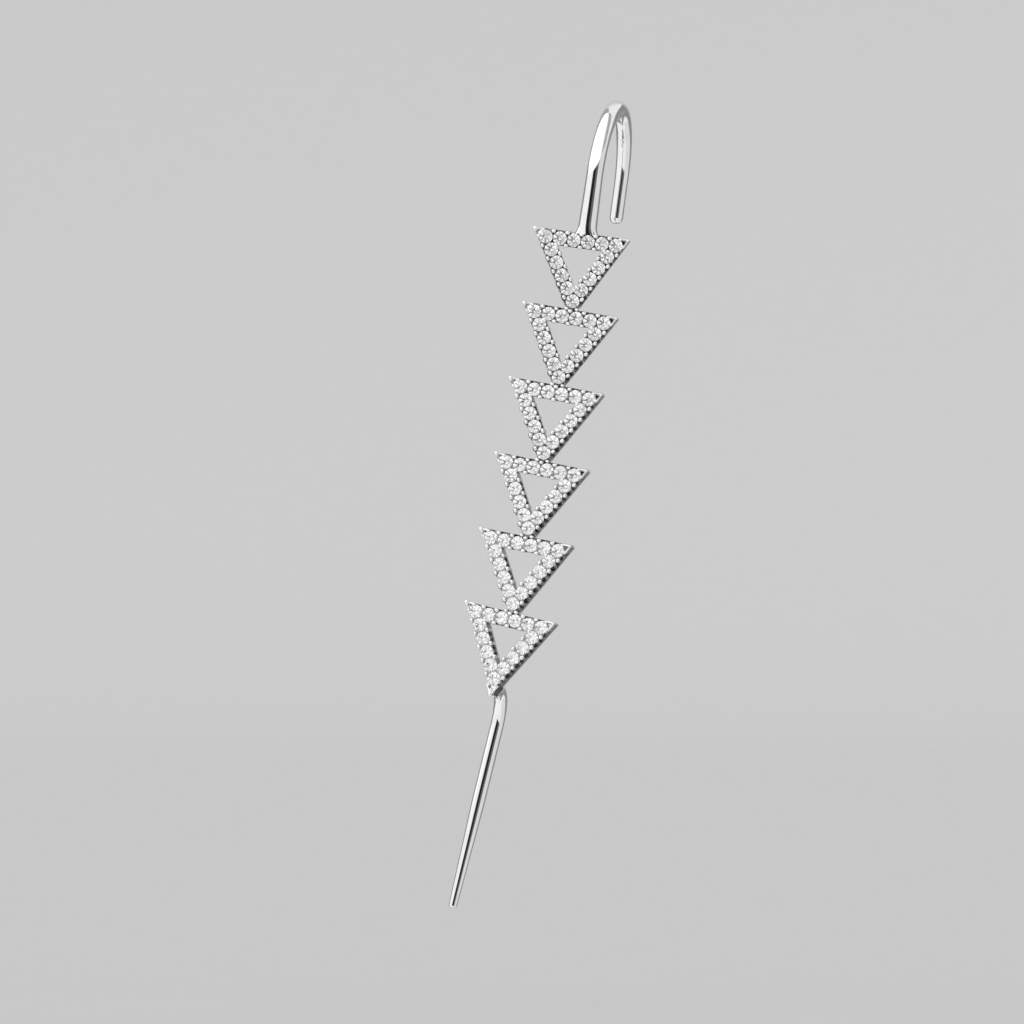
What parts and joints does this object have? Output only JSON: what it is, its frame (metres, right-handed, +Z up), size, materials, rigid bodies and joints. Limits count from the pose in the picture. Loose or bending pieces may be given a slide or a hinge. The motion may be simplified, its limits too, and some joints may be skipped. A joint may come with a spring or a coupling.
{
  "type": "hooked ear pin",
  "caption": "Long ear cuff: a hook over the top of the ear, a row of open stone-set triangles along its edge and a straight pin through the lobe.",
  "frame": {"origin": "the top of the hook's hollow, at the underside of the arch, where the piece hangs on the upper rim of the ear", "axes": "+Z up as worn, along the length of the row; -Y is the front, which shows the stones; +X is the right-hand side seen from the front; the arch of the hook runs back along +Y"},
  "size_m": [0.016, 0.0102, 0.0703],
  "materials": {
    "polished_silver": "rhodium-bright polished silver, mirror-like",
    "clear_stones": "clear white round cut stones in bright metal seats with bead claws"
  },
  "bodies": {
    "root": {"soldered_frame": "polished_silver", "stone_field_1": "clear_stones", "stone_field_2": "clear_stones", "stone_field_3": "clear_stones", "stone_field_4": "clear_stones", "stone_field_5": "clear_stones", "stone_field_6": "clear_stones"}
  },
  "joints": []
}
